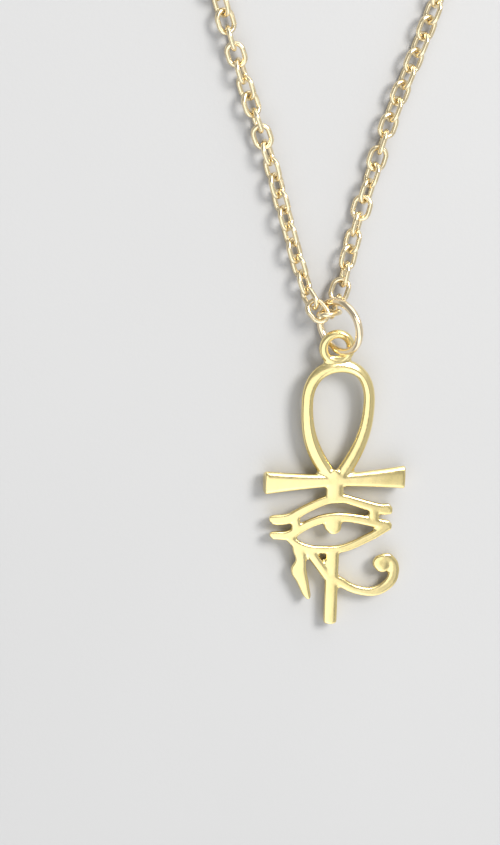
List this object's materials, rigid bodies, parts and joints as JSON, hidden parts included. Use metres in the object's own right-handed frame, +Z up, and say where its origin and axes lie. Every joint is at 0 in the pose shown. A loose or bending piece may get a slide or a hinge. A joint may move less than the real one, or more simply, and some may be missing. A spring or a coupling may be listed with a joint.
{
  "type": "ankh pendant necklace",
  "caption": "Cast ankh pendant with a pierced eye of Horus below its arms, hung by a wire jump ring on a fine oval-link cable chain, lying on a surface.",
  "frame": {"origin": "on the pendant's flat back, where the arms cross the axis of the stem", "axes": "+Y up the pendant towards its eyelet and along the chain's loop, +X to the right as seen from the front, +Z up from the surface"},
  "size_m": [0.097, 0.2297, 0.0059],
  "materials": {
    "lemon_gold": "polished pale yellow gold plating on a zinc alloy casting",
    "pale_gold": "polished champagne gold plating on round wire",
    "chain_gold": "polished champagne gold plating on fine wire links",
    "clasp_gold": "polished champagne gold plating"
  },
  "bodies": {
    "root": {"pendant": "lemon_gold", "jump_ring": "pale_gold", "chain": "chain_gold", "clasp": "clasp_gold"}
  },
  "joints": []
}
